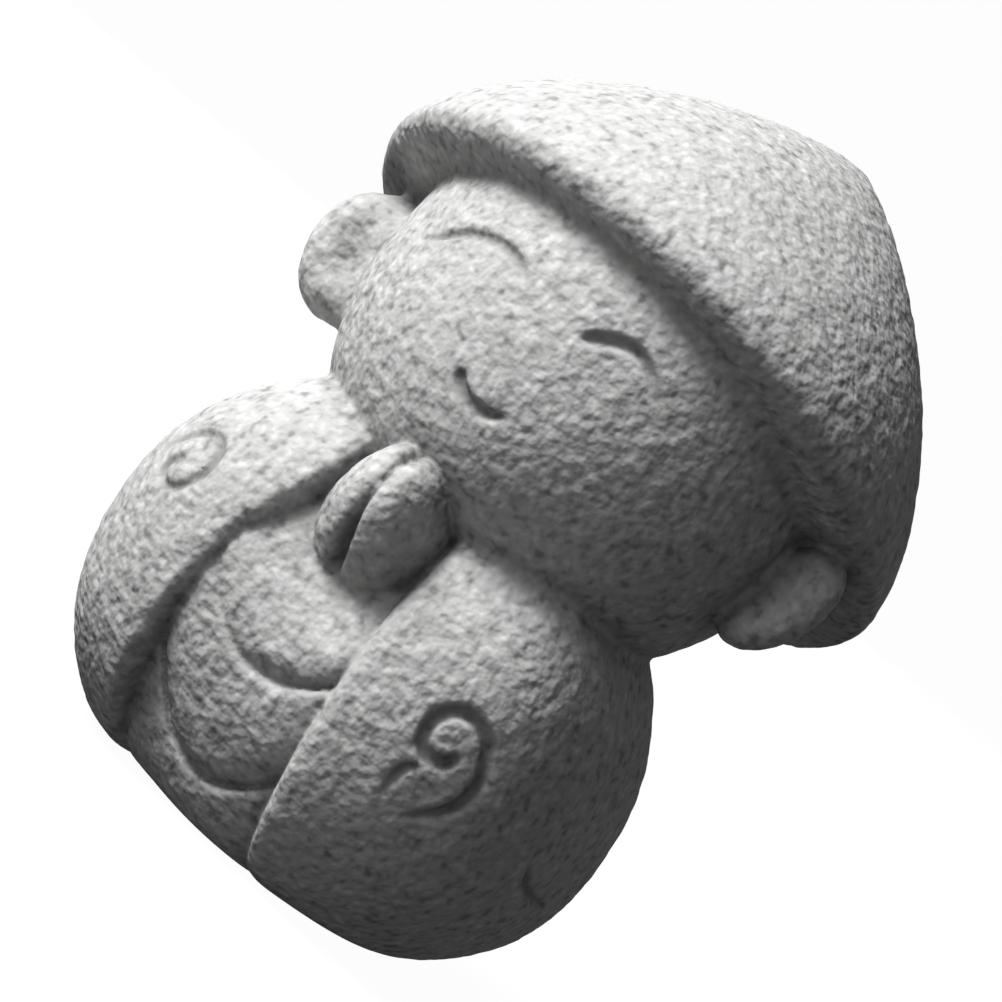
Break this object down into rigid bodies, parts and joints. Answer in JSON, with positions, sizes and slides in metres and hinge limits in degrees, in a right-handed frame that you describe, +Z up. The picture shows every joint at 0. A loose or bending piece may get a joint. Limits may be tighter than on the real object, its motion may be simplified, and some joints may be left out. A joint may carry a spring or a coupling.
{
  "type": "stone buddha figurine",
  "caption": "Small solid stone figurine of a smiling child monk in a broad conical hat, palms joined, that stands on its own flat base.",
  "frame": {"origin": "middle of the figure's outline seen from above, on the surface it stands on", "axes": "+Z up; the figure faces -Y and its left hand is on +X"},
  "size_m": [0.0882, 0.0822, 0.1168],
  "materials": {
    "stone": "light grey fine-grained stone, matt, lightly pitted, with smooth incised lines"
  },
  "bodies": {
    "root": {"figure": "stone"}
  },
  "joints": []
}
